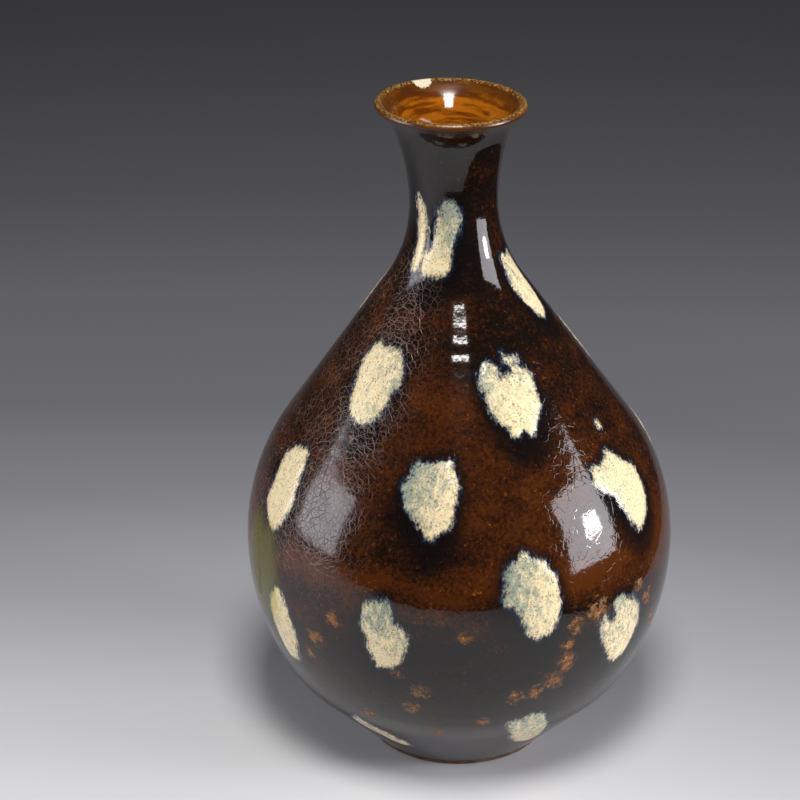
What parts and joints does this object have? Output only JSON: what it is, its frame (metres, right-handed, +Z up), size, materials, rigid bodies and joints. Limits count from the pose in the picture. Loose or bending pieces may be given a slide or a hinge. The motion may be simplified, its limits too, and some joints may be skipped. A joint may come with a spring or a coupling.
{
  "type": "sake bottle",
  "caption": "Round-bellied stoneware bottle with a slim neck and flared lip, dark glaze with pale dabs, for serving warm or cold sake.",
  "frame": {"origin": "under the middle of the foot, on the surface that the bottle stands on", "axes": "+Z up along the bottle's axis, -Y towards the viewer, +X to the viewer's right"},
  "size_m": [0.1523, 0.1524, 0.24],
  "materials": {
    "stoneware": "bare fired clay, matt, with turning marks",
    "amber_glaze": "glossy amber-brown glaze, paler where it is thin on the lip",
    "iron_glaze": "glossy brown-black iron glaze, crackled on one side",
    "cream_glaze": "glossy cream dabs with feathered blue edges",
    "ash_glaze": "glossy thin olive-green run"
  },
  "bodies": {
    "root": {"clay_body": "stoneware", "liner_glaze": "amber_glaze", "outer_glaze": "iron_glaze", "neck_dabs": "cream_glaze", "high_shoulder_dabs": "cream_glaze", "shoulder_dabs": "cream_glaze", "upper_belly_dabs": "cream_glaze", "belly_dabs": "cream_glaze", "foot_dabs": "cream_glaze", "ash_run": "ash_glaze"}
  },
  "joints": []
}
